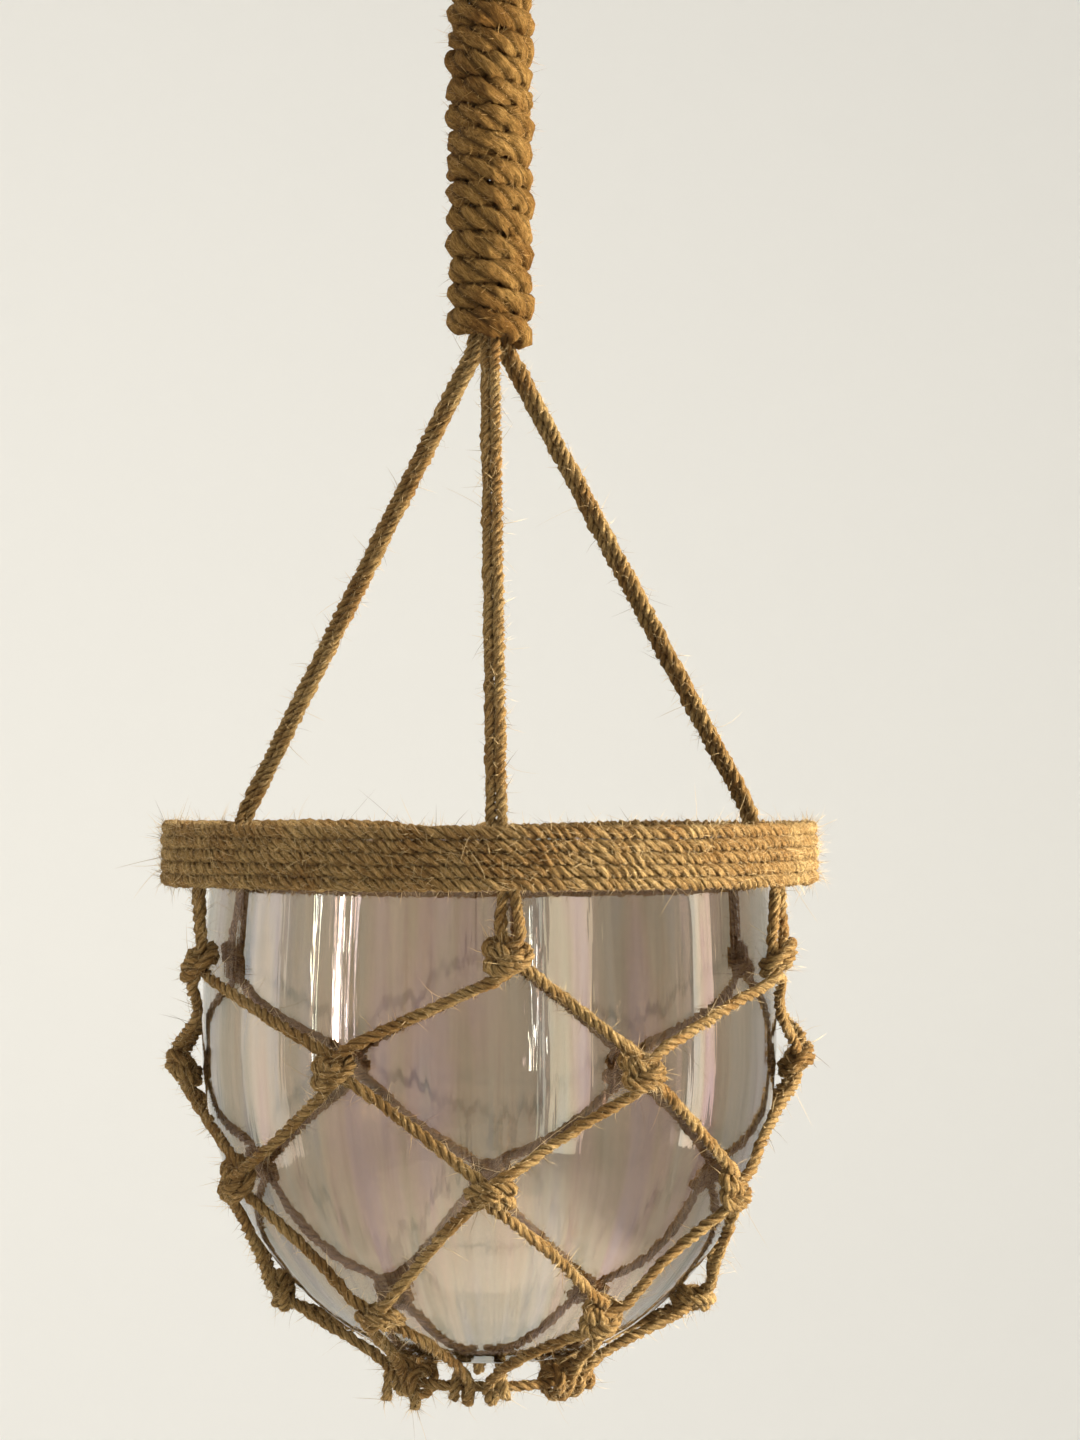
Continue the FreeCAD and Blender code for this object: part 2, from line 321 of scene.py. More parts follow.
def eased(value, start, span):
    """How far a value is past a start, as a share of a span, held between 0 and 1."""
    return min(1.0, max(0.0, (value - start) / span))


# The knot: two cords side by side in an overhand knot, drawn tight by a small simulation.
# Its unit is the cord's width, with u to the right, v up the bowl and w out from it.


def loose_knot():
    """An open trefoil whose two tails both leave it at the right, one up and one down."""
    turn = np.linspace(math.pi + loose_opening, 3 * math.pi - loose_opening, loose_points)
    round_u = 2 * np.cos(2 * turn) - np.cos(turn)
    round_v = np.sin(turn) + 2 * np.sin(2 * turn)
    body = np.stack([round_u * loose_size, round_v * loose_size, -np.sin(3 * turn) * loose_depth], axis=1)
    upper = np.array(loose_tail) + (body[0][0] + tail_bend, 0, 0)
    return evenly_spaced(np.vstack([upper, body, (upper * (1, -1, -1))[::-1]]), link)


def keep_links(points, links):
    """Moves neighbours along a cord back to one link's length apart."""
    for half in (links[0::2], links[1::2]):
        run = points[half + 1] - points[half]
        length = np.linalg.norm(run, axis=1, keepdims=True)
        move = run * ((length - link) / length * 0.5)
        points[half] += move
        points[half + 1] -= move


def push_apart(points, first, second, width):
    """Moves points of the cords that cut into each other away from each other."""
    gaps = points[first] - points[second]
    length = np.linalg.norm(gaps, axis=1)
    hit = length < width
    push = (width - length[hit]) / np.maximum(length[hit], nearly_nothing) * contact_push
    push = gaps[hit] * push[:, None]
    np.add.at(points, first[hit], push)
    np.add.at(points, second[hit], -push)


def tight_knot():
    """The knot's two strands, each from its upper leg to its lower one."""
    centre = loose_knot()
    along = unit(np.gradient(centre, axis=0))
    beside = unit(np.stack([along[:, 1], -along[:, 0], 0 * along[:, 0]], axis=1)) * loose_apart
    strands_loose = [evenly_spaced(centre + beside * hand, link) for hand in (-1, 1)]
    split = len(strands_loose[0])
    points = np.vstack(strands_loose)
    total = len(points)
    order = np.arange(total)
    owner = order >= split
    links = order[:-1][owner[:-1] == owner[1:]]
    inner = order[1:-1][owner[:-2] == owner[2:]]
    ends = ((0, -1, 1), (split, 1, 1), (split - 1, -1, -1), (total - 1, 1, -1))
    first, second = np.triu_indices(total, 1)
    apart = (owner[first] != owner[second]) | (second - first > int(own_contact_from / link))
    first, second = first[apart], second[apart]
    for step in range(draw_steps):
        share = step / draw_steps
        turn = math.radians(leg_angle) * eased(share, spread_from, spread_over)
        squeeze = eased(share, squeeze_from, squeeze_over)
        width = touching_width + (squeezed_width - touching_width) * squeeze
        for end, side, rise in ends:
            reach = np.linalg.norm(points[end]) + draw_speed
            goal = np.array([side * math.sin(turn), rise * math.cos(turn), leg_back]) * reach
            points[end] += np.clip(goal - points[end], -fastest_move, fastest_move)
        if step % search_every == 0:
            gaps = points[first] - points[second]
            close = np.einsum("ij,ij->i", gaps, gaps) < search_reach_squared
            near_first, near_second = first[close], second[close]
        for _ in range(passes):
            keep_links(points, links)
            push_apart(points, near_first, near_second, width)
        points[inner] += easing * ((points[inner - 1] + points[inner + 1]) / 2 - points[inner])
        points[:, 2] = np.maximum(points[:, 2], back_wall)
    return [points[:split] * knot_stretch, points[split:] * knot_stretch]


knot_strands = tight_knot()
noise.seed_set(noise_seed)


# Routes of the cords


def knot_points(row, place, right_hand):
    """One strand's way through a knot, from top to bottom."""
    place = place % columns
    angle, share = knot_rows[row][place]
    level = glass_rim - share * glass_height
    on_wall = row > 0
    lean = wall_lean(level) if on_wall else 0.0
    radius = wall_radius(level, knot_back_reach * knot_unit)
    if not on_wall:
        radius = max(radius, strand_radius)
    out = outward(angle) * math.cos(lean) - up(math.sin(lean))
    right = sideways(angle)
    along = out.cross(right)
    middle = outward(angle) * radius + up(level)
    spot = [index * step + start for index, step, start
            in zip((row, place, 0), (*knot_chance_steps, 0), knot_chance_start)]
    chance = noise.noise_vector(Vector(spot))
    tilt = math.radians(knot_tilt) * chance.x * 2
    size = knot_unit * (1 + knot_swell * chance.y * 2)
    flipped = chance.z > knot_flip_above
    strand = knot_strands[int(right_hand != flipped)]
    reach = np.linalg.norm(strand, axis=1)
    upper = np.arange(len(strand)) < np.argmin(reach)
    inside = np.nonzero(reach < np.where(upper & (not on_wall), first_row_extent, knot_extent))[0]
    points = []
    for u, v, w in strand[inside[0]:inside[-1] + 1:2]:
        if flipped:
            u, w = -u, -w
        turned_u = u * math.cos(tilt) - v * math.sin(tilt)
        turned_v = u * math.sin(tilt) + v * math.cos(tilt)
        points.append(middle + (right * turned_u + along * turned_v + out * w) * size)
    return points


def span_points(start, end):
    """Points between two knots, where the cord lies on the bowl."""
    angle_a, angle_b = (math.degrees(math.atan2(point.x, -point.y)) for point in (start, end))
    swing = (angle_b - angle_a + 180) % 360 - 180
    rest = cord_reach + seat_gap + span_bow
    points = []
    for index in range(1, spans_between_knots):
        share = index / spans_between_knots
        level = start.z + (end.z - start.z) * share
        radius = wall_radius(max(level, glass_base), rest)
        points.append(outward(angle_a + swing * share) * radius + up(level))
    return points


def hitch_points(place, right_hand):
    """One strand's turn and a bit round the base ring, from the outside inwards."""
    angle = hitch_angles[place % columns]
    radius = ring_radius * math.cos(math.radians(ring_straight_half_angle))
    centre = outward(angle) * radius + up(ring_level)
    side = sideways(angle) * (1 if right_hand else -1)
    points = []
    for index in range(hitch_steps):
        turn = math.radians(hitch_start - hitch_step * index)
        offset = hitch_first_side + hitch_pitch * index * hitch_step / 360
        around = outward(angle) * math.cos(turn) + up(math.sin(turn))
        points.append(centre + around * hitch_radius + side * (offset * strand_spacing))
    first, last = tail_chance_start
    spot = (place * tail_chance_step + first, tail_chance_hands[right_hand], last)
    chance = noise.noise_vector(Vector(spot))
    length, lean, drop = long_tail if place % columns == long_tail_column else short_tail
    heading = outward(angle) * lean - up(drop) + side * tail_spread + chance * tail_wander
    points.append(points[-1] + heading.normalized() * length)
    return points


def net_strand(column, right_hand):
    """One strand of a column from the rim down through four knots to the base ring."""
    start_angle, first_share = knot_rows[0][column]
    offset = neck_spacing / 2 * (1 if right_hand else -1)
    top_level = glass_rim - first_share * glass_height
    start = outward(start_angle) * strand_radius + sideways(start_angle) * offset
    route = [start + up((binding_top + top_level) / 2)]
    for row in range(len(knot_rows)):
        on_column = row % 2 == 0
        place = column if on_column or right_hand else column - 1
        points = knot_points(row, place, right_hand if on_column else not right_hand)
        if row > 0:
            route += span_points(route[-1], points[0])
        route += points
    points = hitch_points(column, right_hand)
    return route + span_points(route[-1], points[0]) + points


def bundle_point(place, level):
    """A cord's place in the ring of six inside the rope column."""
    angle = bundle_first_angle + 360 / bundle_cords * place
    return outward(angle) * strand_spacing + up(level)


def toward(start, end, distance):
    return start + (end - start).normalized() * distance


def hanger_points(hanger, right_hand, place):
    """One hanger cord from inside the rope column down to behind the binding."""
    angle = hanger_angles[hanger]
    offset = sideways(angle) * (pair_spacing / 2 * (1 if right_hand else -1))
    top = bundle_point(place, column_top)
    corner = bundle_point(place, column_bottom)
    foot = outward(angle) * strand_radius + offset + up(binding_top)
    run = edge_run * cord_diameter
    pair_top = outward(angle) * (strand_spacing * math.cos(math.pi / bundle_cords)) + up(column_bottom)
    pair_foot = foot - offset
    seen_side = math.copysign(0.5, offset.x)
    beside = (sideways(0) * taut_spacing + outward(0) * taut_depth) * seen_side
    return [
        toward(top, corner, run),
        toward(corner, top, run),
        pair_top + beside,
        toward(pair_top, pair_foot, run) + beside,
        toward(pair_top, pair_foot, (pair_foot - pair_top).length / 2) + beside,
        toward(pair_foot, pair_top, run) + beside,
        (foot + pair_foot + beside) / 2,
    ]


def loop_arch(place_left):
    """The arch of one long cord above the rope column, from its left leg to its right leg."""
    spread = strand_spacing / abs(bundle_point(0, column_top).y)
    depth = bundle_point(place_left, column_top).y * spread
    half_steps = [
        (1.0, -loop_shoulder_drop),
        (loop_haunch_share, -loop_haunch_drop),
        (loop_crown_share, cord_reach),
    ]
    arch = [Vector((-loop_half_width * share, depth, level)) for share, level in half_steps]
    return arch + [Vector((-point.x, point.y, point.z)) for point in reversed(arch)]


def long_cord(left_end, right_end):
    """Net strand, hanger, loop arch, hanger and net strand in one cord.

    Each end is (hanger, column, right-hand strand, place in the bundle).
    """
    halves = []
    for hanger, column, right_hand, place in (left_end, right_end):
        top = bundle_point(place, column_top)
        halves.append([top] + hanger_points(hanger, right_hand, place) + net_strand(column, right_hand))
    place_left = left_end[-1]
    return halves[0][::-1] + loop_arch(place_left) + halves[1]


def hoop_cord(column):
    """A cord folded over the hoop's top edge behind the binding. Both halves go down into the net."""
    angle = knot_rows[0][column][0]
    low = fold_level - fold_depth
    half = strand_spacing / 2
    steps = [
        (fold_end_half_width, fold_radius, low),
        (fold_half_width, fold_radius, low + fold_end_rise),
        (fold_half_width, fold_radius, fold_level - fold_corner),
        (fold_half_width, fold_radius + fold_corner, fold_level),
        (half, strand_radius - fold_corner, fold_level),
        (half, strand_radius, fold_level - fold_corner),
    ]
    halves = []
    for right_hand in (False, True):
        hand = 1 if right_hand else -1
        fold = [outward(angle) * radius + sideways(angle) * (side * hand) + up(level)
                for side, radius, level in steps]
        halves.append(fold + net_strand(column, right_hand))
    return halves[0][::-1] + halves[1]


def base_ring_route():
    """The closed cord under the bowl that the net is hitched to."""
    points = []
    for angle in sorted(angle % 360 for angle in hitch_angles):
        for step in (-ring_straight_half_angle, ring_straight_half_angle):
            points.append(outward(angle + step) * ring_radius + up(ring_level))
    return points


def binding_lift(angle):
    """How far the binding stands out where it goes over a pair of cords."""
    lift = 0.0
    for under in [angle for angle, share in knot_rows[0]] + list(hanger_angles.values()):
        away = (angle - under + 180) % 360 - 180
        lift = max(lift, binding_bump * math.exp(-(away / binding_bump_span) ** 2))
    return lift


def binding_route():
    """The cord round the rim. Its turns lie level and step down together at the back.

    Its two ends are tucked in behind the turns.
    """
    level_span = 360 - binding_jog_span
    total = 360 * binding_turns - binding_jog_span
    count = round(total / 360 * binding_points_per_turn)
    radius = binding_radius / math.cos(math.pi / binding_points_per_turn)
    points = []
    for index in range(count + 1):
        swept = total * index / count
        turn = int(swept // 360)
        jog = eased(swept - 360 * turn, level_span, binding_jog_span)
        angle = binding_start_angle + swept
        place = outward(angle)
        level = binding_top - cord_radius - binding_pitch * (turn + jog)
        drift = noise.noise_vector(place * binding_drift_rate + up(turn * binding_drift_step)) * binding_drift
        points.append(place * (radius + drift.x + binding_lift(angle)) + up(level + drift.z))
    tails = []
    end_angle = binding_start_angle + total
    for angle, hand, end in ((binding_start_angle, -1, points[0]), (end_angle, 1, points[-1])):
        tails.append([outward(angle + hand * swing) * (binding_radius - depth * cord_diameter)
                      + up(end.z + hand * lift * binding_pitch) for swing, depth, lift in binding_tuck])
    return tails[0][::-1] + points + tails[1]


def column_route():
    """The rope wound downwards in one layer round the bundle of hanger cords.

    It runs on past its solid's end, to finish out of sight at the back.
    """
    count = (column_turns - 1) * column_points_per_turn
    clear_radius = column_bore_radius + rope_depth / 2
    radius = clear_radius / math.cos(math.pi / column_points_per_turn)
    points = []
    for index in range(count + 1 + column_end_points):
        share = index / count
        angle = 360 * (column_turns - 1) * share
        level = column_top - rope_height / 2 - (column_length - rope_height) * share
        wander = noise.noise(Vector((index * column_drift_rate, 0, 0))) * column_drift
        points.append(outward(angle) * (radius + wander) + up(level))
    return points


# Splines


def spline_line(route, spacing, closed=False):
    """Evenly spaced points on the smooth spline that has the route as its control points."""
    data = bpy.data.curves.new("route", "CURVE")
    data.dimensions = "3D"
    data.resolution_u = spline_steps
    spline = data.splines.new("NURBS")
    spline.points.add(len(route) - 1)
    for control, place in zip(spline.points, route):
        control.co = (*place, 1)
    spline.order_u = 3
    spline.use_cyclic_u = closed
    spline.use_endpoint_u = not closed
    holder = bpy.data.objects.new("route", data)
    mesh = bpy.data.meshes.new_from_object(holder)
    points = np.array([vertex.co[:] for vertex in mesh.vertices])
    bpy.data.objects.remove(holder)
    bpy.data.curves.remove(data)
    bpy.data.meshes.remove(mesh)
    if closed:
        points = np.vstack([points, points[:1]])
    return evenly_spaced(points, spacing)


def line_frames(line, about_axis=False):
    """Each point's direction and two crosswise directions that don't spin along the line.

    About the axis, the first crosswise direction points away from it instead.
    """
    steep = 0.9
    along = unit(np.gradient(line, axis=0))
    across = np.empty_like(line)
    if about_axis:
        across[:] = line * (1, 1, 0)
        across -= along * np.sum(across * along, axis=1, keepdims=True)
        across = unit(across)
    else:
        helper = np.array([0.0, 0.0, 1.0]) if abs(along[0][2]) < steep else np.array([1.0, 0.0, 0.0])
        current = np.cross(along[0], helper)
        for index, direction in enumerate(along):
            current = current - direction * current.dot(direction)
            current = current / math.sqrt(current.dot(current))
            across[index] = current
    return along, across, np.cross(along, across)


# Meshes


def ring_faces(rows, count, closed=False):
    """Faces between rings of points that follow each other, the last one back to the first if closed."""
    faces = []
    for row in range(rows if closed else rows - 1):
        here, there = row * count, (row + 1) % rows * count
        for index in range(count):
            after = (index + 1) % count
            faces.append((here + index, here + after, there + after, there + index))
    return faces


def end_faces(rows, count):
    """Fans that close both ends of such rings, each round one of the two points that come after them."""
    first, last = rows * count, rows * count + 1
    base = (rows - 1) * count
    faces = []
    for index in range(count):
        after = (index + 1) % count
        faces += [(first, after, index), (last, base + index, base + after)]
    return faces


def new_piece(name, vertices, faces, material):
    """A smooth mesh piece from points in millimetres."""
    mesh = bpy.data.meshes.new(name)
    mesh.from_pydata((np.asarray(vertices) / METRE).tolist(), [], faces)
    mesh.update()
    mesh.shade_smooth()
    piece = bpy.data.objects.new(name, mesh)
    bpy.context.scene.collection.objects.link(piece)
    mesh.materials.append(material)
    return piece


def give(piece, name, domain, values):
    """Stores one number or one vector for each of a piece's points or corners."""
    single = values.ndim == 1
    layer = piece.data.attributes.new(name, "FLOAT" if single else "FLOAT_VECTOR", domain)
    layer.data.foreach_set("value" if single else "vector", values.ravel())


def finished(piece, slot, *nodes):
    """Rides the piece on the body and lets it stand for its solids. Its slot is not used."""
    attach(piece, "root")
    if nodes:
        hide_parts(*nodes)
    return piece


# Twisted cord


def strand_section():
    """A three-strand cord's outline at unit radius: its angles, and how far out it is at each."""
    step = 2 * math.pi / strands
    shares = np.arange(points_per_strand) / points_per_strand - 0.5
    local = np.tile(shares * step, strands)
    angles = np.repeat(np.arange(strands) * step, points_per_strand) + local
    strand_radius_share = 1 - strand_reach
    across = strand_reach * np.sin(local)
    reach = strand_reach * np.cos(local) + np.sqrt(strand_radius_share ** 2 - across ** 2)
    return angles, reach


def slow_waves(random, travelled, count, wave_lengths):
    """Uneven waves along a line, one column for each of several strands, mostly within 1."""
    waves = np.zeros((len(travelled), count))
    for wave_length in wave_lengths:
        phase = random.uniform(0, 2 * math.pi, count)
        waves += np.sin(travelled[:, None] * (2 * math.pi / wave_length) + phase)
    return waves / math.sqrt(len(wave_lengths))


def strand_places(faces, rows, count, travelled, width):
    """For each corner of a cord's faces, its millimetres round the cord and along it.

    The last four-sided face of each ring ends at the full way round, and not back at nothing.
    """
    vertex = np.array([corner for face in faces for corner in face])
    on_ring = vertex < rows * count
    column = np.where(on_ring, vertex % count, 0)
    row = np.where(on_ring, vertex // count, 0)
    places = np.zeros((len(vertex), 3))
    places[:, 0] = column / count * width
    places[:, 1] = travelled[row]
    quads = sum(len(face) == 4 for face in faces)
    around = column[:quads * 4].reshape(-1, 4)
    wrapped = (around[:, :1] == count - 1) & (around == 0)
    places[:quads * 4, 0][wrapped.ravel()] = width
    return places


def twisted_cord(name, line, size, pitch, material, about_axis=False, closed=False):
    """A three-strand twisted cord along a line. Size is its width across and up.

    Its "strand" attribute holds millimetres round and along, and "crest" how far out a point is, which the
    jute material uses to paint shade in the grooves.
    """
    along, across, side = line_frames(line, about_axis)
    travelled = distances(line)
    share = travelled / travelled[-1]
    angles, reach = strand_section()
    random = np.random.default_rng(len(line))
    turns = round(travelled[-1] / pitch) if closed else travelled[-1] / pitch
    twist = share * turns * 2 * math.pi
    ease = np.ones(len(line))
    if closed:
        twist = twist - share * math.atan2(np.dot(across[-1], side[0]), np.dot(across[-1], across[0]))
        ease = np.sin(share * math.pi)
    wander = slow_waves(random, travelled, 1, [wave * pitch for wave in wander_pitches])
    twist = twist + (wander[:, 0] - wander[0, 0]) * ease * pitch_wander * 2 * math.pi
    swell = slow_waves(random, travelled, strands, strand_swell_lengths) * strand_swell
    rough = random.normal(0, fibre_rough, (len(line), len(angles)))
    rough[1:-1] = (rough[:-2] + rough[1:-1] * 2 + rough[2:]) / 2
    uneven = 1 + (np.repeat(swell, points_per_strand, axis=1) + rough) * ease[:, None]
    swept = angles[None, :] + twist[:, None]
    out = np.cos(swept) * reach * uneven * size[0] / 2
    rise = np.sin(swept) * reach * uneven * size[1] / 2
    rings = line[:, None, :] + across[:, None, :] * out[..., None] + side[:, None, :] * rise[..., None]
    count = len(angles)
    rows = len(line) - 1 if closed else len(line)
    vertices = rings[:rows].reshape(-1, 3)
    faces = ring_faces(rows, count, closed)
    if not closed:
        bulge = size[0] * end_bulge
        vertices = np.vstack([vertices, line[0] - along[0] * bulge, line[-1] + along[-1] * bulge])
        faces += end_faces(rows, count)
    piece = new_piece(name, vertices, faces, material)
    crest = np.tile((reach - reach.min()) / np.ptp(reach), rows)
    give(piece, "crest", "POINT", np.concatenate([crest, np.ones(len(vertices) - len(crest))]))
    width = math.pi * (size[0] + size[1]) / 2
    give(piece, "strand", "CORNER", strand_places(faces, rows, count, travelled, width))
    return piece


# Loose fibres


def fibre_points(line, random, per_mm, kind, width, combed):
    """The points of the fibres on one line, fibre by fibre: small rings from the root up, then the tip."""
    askew = 0.3
    along, across, side = line_frames(line)
    count = int(len(line) * np.linalg.norm(line[1] - line[0]) * per_mm)
    spots = random.integers(0, len(line), count)
    turn = random.uniform(0, 2 * math.pi, count)
    out = across[spots] * np.cos(turn)[:, None] + side[spots] * np.sin(turn)[:, None]
    root = line[spots] + out * (width / 2 * kind["root"])
    length = kind["length"]
    reach = np.clip(random.exponential(length, count), length * fibre_shortest, length * fibre_longest)
    slant = random.normal(0, kind["lean"], count)[:, None]
    slant = np.abs(slant) if combed else slant
    start = unit(out + along[spots] * slant + random.normal(0, fibre_wobble, (count, 3)))
    curl = unit(random.normal(0, 1, (count, 3)) + out * curl_outwards)
    curl = curl * random.uniform(kind["curl"] * least_curl, kind["curl"], count)[:, None]
    stations = np.arange(kind["bends"] + 1) / (kind["bends"] + 1)
    middles = (root[:, None, :] + start[:, None, :] * (reach[:, None] * stations)[..., None]
               + curl[:, None, :] * (reach[:, None] * stations ** 2)[..., None])
    tips = root + (start + curl) * reach[:, None]
    crosswise = unit(np.cross(start, along[spots] + askew))
    other = np.cross(start, crosswise)
    thickness = fibre_thickness / 2 * random.uniform(fibre_thinnest, fibre_thickest, count)
    radius = thickness[:, None] * (1 - fibre_taper * stations)
    angles = np.arange(fibre_sides) * 2 * math.pi / fibre_sides
    ring = (crosswise[:, None, None, :] * np.cos(angles)[None, None, :, None]
            + other[:, None, None, :] * np.sin(angles)[None, None, :, None])
    rings = middles[:, :, None, :] + ring * radius[:, :, None, None]
    return np.concatenate([rings.reshape(count, -1, 3), tips[:, None, :]], axis=1)


def fuzz(name, lines, seed, per_mm, kind, material, width=cord_diameter, combed=False):
    """Loose fibres along cords: thin closed tubes that start inside the cord and curl away from it.

    Combed ones all lean the way their line runs.
    """
    random = np.random.default_rng(seed)
    batches = []
    shades = []
    for line in lines:
        batch = fibre_points(line, random, per_mm, kind, width, combed)
        batches.append(batch)
        shades.append(np.repeat(random.uniform(0, 1, len(batch)), batch.shape[1]))
    points = np.concatenate(batches)
    rows = kind["bends"] + 1
    top = (rows - 1) * fibre_sides
    tip = rows * fibre_sides
    pattern = ring_faces(rows, fibre_sides)
    pattern += [(top + corner, top + (corner + 1) % fibre_sides, tip) for corner in range(fibre_sides)]
    pattern.append(tuple(range(fibre_sides))[::-1])
    faces = []
    for base in range(0, len(points) * (tip + 1), tip + 1):
        faces.extend([tuple(base + index for index in face) for face in pattern])
    piece = new_piece(name, points.reshape(-1, 3), faces, material)
    give(piece, "shade", "POINT", np.concatenate(shades))
    return piece


# Materials


def linear(red, green, blue):
    """A colour written as it looks on screen, from 0 to 255, as the shader wants it."""
    return tuple(((share / 255) / 12.92 if share <= 10 else ((share / 255 + 0.055) / 1.055) ** 2.4)
                 for share in (red, green, blue)) + (1.0,)


def grey(level):
    return level, level, level, 1.0


class Shader:
    """A material's nodes, added one by one and joined by name."""

    def __init__(self, name):
        self.material = bpy.data.materials.new(name)
        self.material.use_nodes = True
        self.nodes = self.material.node_tree.nodes
        self.links = self.material.node_tree.links

    def fill(self, node, inputs):
        for key, value in inputs.items():
            if isinstance(value, bpy.types.NodeSocket):
                self.links.new(value, node.inputs[key])
            else:
                node.inputs[key].default_value = value

    def add(self, kind, inputs, **settings):
        node = self.nodes.new(kind)
        for key, value in settings.items():
            setattr(node, key, value)
        self.fill(node, inputs)
        return node

    def finish(self, **inputs):
        """Sets the surface's inputs, written with _ for a space, and gives the material."""
        surface = self.nodes["Principled BSDF"]
        self.fill(surface, {key.replace("_", " "): value for key, value in inputs.items()})
        return self.material

    def attribute(self, name, output):
        return self.add("ShaderNodeAttribute", {}, attribute_name=name).outputs[output]

    def place(self):
        return self.add("ShaderNodeTexCoord", {}).outputs["Object"]

    def ramp(self, factor, first, last, *between):
        node = self.add("ShaderNodeValToRGB", {"Fac": factor})
        elements = node.color_ramp.elements
        stops = (first, *between, last)
        while len(elements) < len(stops):
            elements.new(0.5)
        for element, (place, colour) in zip(elements, stops):
            element.position = place
            element.color = colour
        return node.outputs["Color"]

    def mix(self, factor, first, second, blend="MIX"):
        node = self.add("ShaderNodeMix", {0: factor, 6: first, 7: second}, data_type="RGBA", blend_type=blend)
        return node.outputs[2]

    def math(self, operation, first, second):
        return self.add("ShaderNodeMath", {0: first, 1: second}, operation=operation).outputs[0]

    def spread(self, value, low, high, to_low, to_high):
        ends = {"Value": value, "From Min": low, "From Max": high, "To Min": to_low, "To Max": to_high}
        return self.add("ShaderNodeMapRange", ends).outputs[0]

    def noise(self, vector, scale, detail, roughness):
        stretched = self.add("ShaderNodeVectorMath", {0: vector, 1: scale}, operation="MULTIPLY").outputs[0]
        settings = {"Vector": stretched, "Scale": 1.0, "Detail": detail, "Roughness": roughness}
        return self.add("ShaderNodeTexNoise", settings).outputs["Fac"]

    def bump(self, height, strength, distance):
        settings = {"Height": height, "Strength": strength, "Distance": distance}
        return self.add("ShaderNodeBump", settings).outputs["Normal"]


def jute(name, *colours):
    """Twisted plant fibre: streaks along each strand, painted shade in the grooves between the strands,
    blotches and flecks of bark.

    Its colours are the light, middle and dark ones of its streaks, and the colour of its bark flecks, which
    also serves as the painted shade in its grooves.
    """
    light, middle, dark, bark_fleck_and_groove_shade = (linear(*colour) for colour in colours)
    shader = Shader(name)
    strand = shader.attribute("strand", "Vector")
    crest = shader.attribute("crest", "Fac")
    fibres = shader.noise(strand, (1.3, 0.42, 1.0), 7.0, 0.8)
    fine = shader.noise(strand, (5.0, 1.4, 1.0), 4.0, 0.7)
    blotches = shader.noise(shader.place(), (48.0, 48.0, 48.0), 4.0, 0.62)
    colour = shader.ramp(fibres, (0.38, dark), (0.6, light), (0.5, middle))
    streaked = shader.mix(shader.ramp(fine, (0.42, grey(0)), (0.66, grey(0.75))), colour, light)
    patched = shader.mix(shader.ramp(blotches, (0.36, grey(0.6)), (0.6, grey(0))),
                         streaked, shader.mix(1.0, streaked, middle, "MULTIPLY"))
    mottle = shader.noise(strand, (0.55, 0.2, 1.0), 3.0, 0.6)
    dulling = shader.ramp(mottle, (0.34, (0.58, 0.55, 0.5, 1)), (0.58, grey(1)))
    patched = shader.mix(1.0, patched, dulling, "MULTIPLY")
    flecks = shader.noise(strand, (1.9, 0.8, 1.0), 3.0, 0.5)
    flecked = shader.mix(shader.ramp(flecks, (0.62, grey(0)), (0.68, grey(0.9))), patched, bark_fleck_and_groove_shade)
    # Painted shade: the grooves between the strands, where the crest is low, are darkened towards the bark
    # fleck colour
    groove_shaded_colour = shader.mix(shader.ramp(crest, (0.0, grey(0.8)), (0.6, grey(0))), flecked, bark_fleck_and_groove_shade)
    height = shader.math("ADD", fibres, shader.math("MULTIPLY", fine, 0.6))
    return shader.finish(Base_Color=groove_shaded_colour, Roughness=0.88, Specular_IOR_Level=0.15, Sheen_Weight=0.15,
                         Sheen_Tint=light, Sheen_Roughness=0.5, Normal=shader.bump(height, 1.0, 0.0018))


def fibre(name, light, dark):
    """Single loose fibres, each its own shade between a light and a dark one."""
    shader = Shader(name)
    shade = shader.ramp(shader.attribute("shade", "Fac"), (0.1, linear(*dark)), (0.6, linear(*light)))
    return shader.finish(Base_Color=shade, Roughness=0.6)


def lustred_glass(name):
    """Clear blown glass with a thin lustre, uneven in streaks that run up the bowl."""
    shader = Shader(name)
    around = shader.attribute("around", "Vector")
    bands = shader.noise(around, (4.5, 4.5, 0.5), 4.0, 0.6)
    lustre = shader.noise(around, (9.0, 9.0, 0.4), 4.0, 0.6)
    silvering = shader.spread(lustre, 0.36, 0.64, 0.14, 0.36)
    streaks = shader.noise(around, (8.0, 8.0, 0.5), 4.0, 0.5)
    film = shader.spread(bands, 0.3, 0.7, 190.0, 380.0)
    return shader.finish(Base_Color=linear(200, 186, 173), Metallic=silvering, Roughness=0.015, IOR=1.5,
                         Transmission_Weight=1.0, Thin_Film_Thickness=film, Thin_Film_IOR=1.65,
                         Normal=shader.bump(streaks, 0.4, 0.0015))


def cane(name):
    """Pale bent wood with a grain that runs round the hoop."""
    shader = Shader(name)
    grain = shader.noise(shader.place(), (25.0, 25.0, 900.0), 4.0, 0.6)
    colour = shader.ramp(grain, (0.3, linear(150, 112, 70)), (0.7, linear(205, 172, 125)))
    return shader.finish(Base_Color=colour, Roughness=0.55, Normal=shader.bump(grain, 0.4, 0.0003))


def pale_paint(name):
    return Shader(name).finish(Base_Color=linear(245, 244, 240), Roughness=0.9)


# Glass bowl


def rounded(before, corner, after, radius, steps=5):
    """A profile corner eased by a curve that starts and ends a radius away from it."""
    start = toward(corner, before, min(radius, (before - corner).length / 2))
    end = toward(corner, after, min(radius, (after - corner).length / 2))
    points = []
    for index in range(steps + 1):
        share = index / steps
        points.append(start * (1 - share) ** 2 + corner * (2 * share * (1 - share)) + end * share ** 2)
    return points


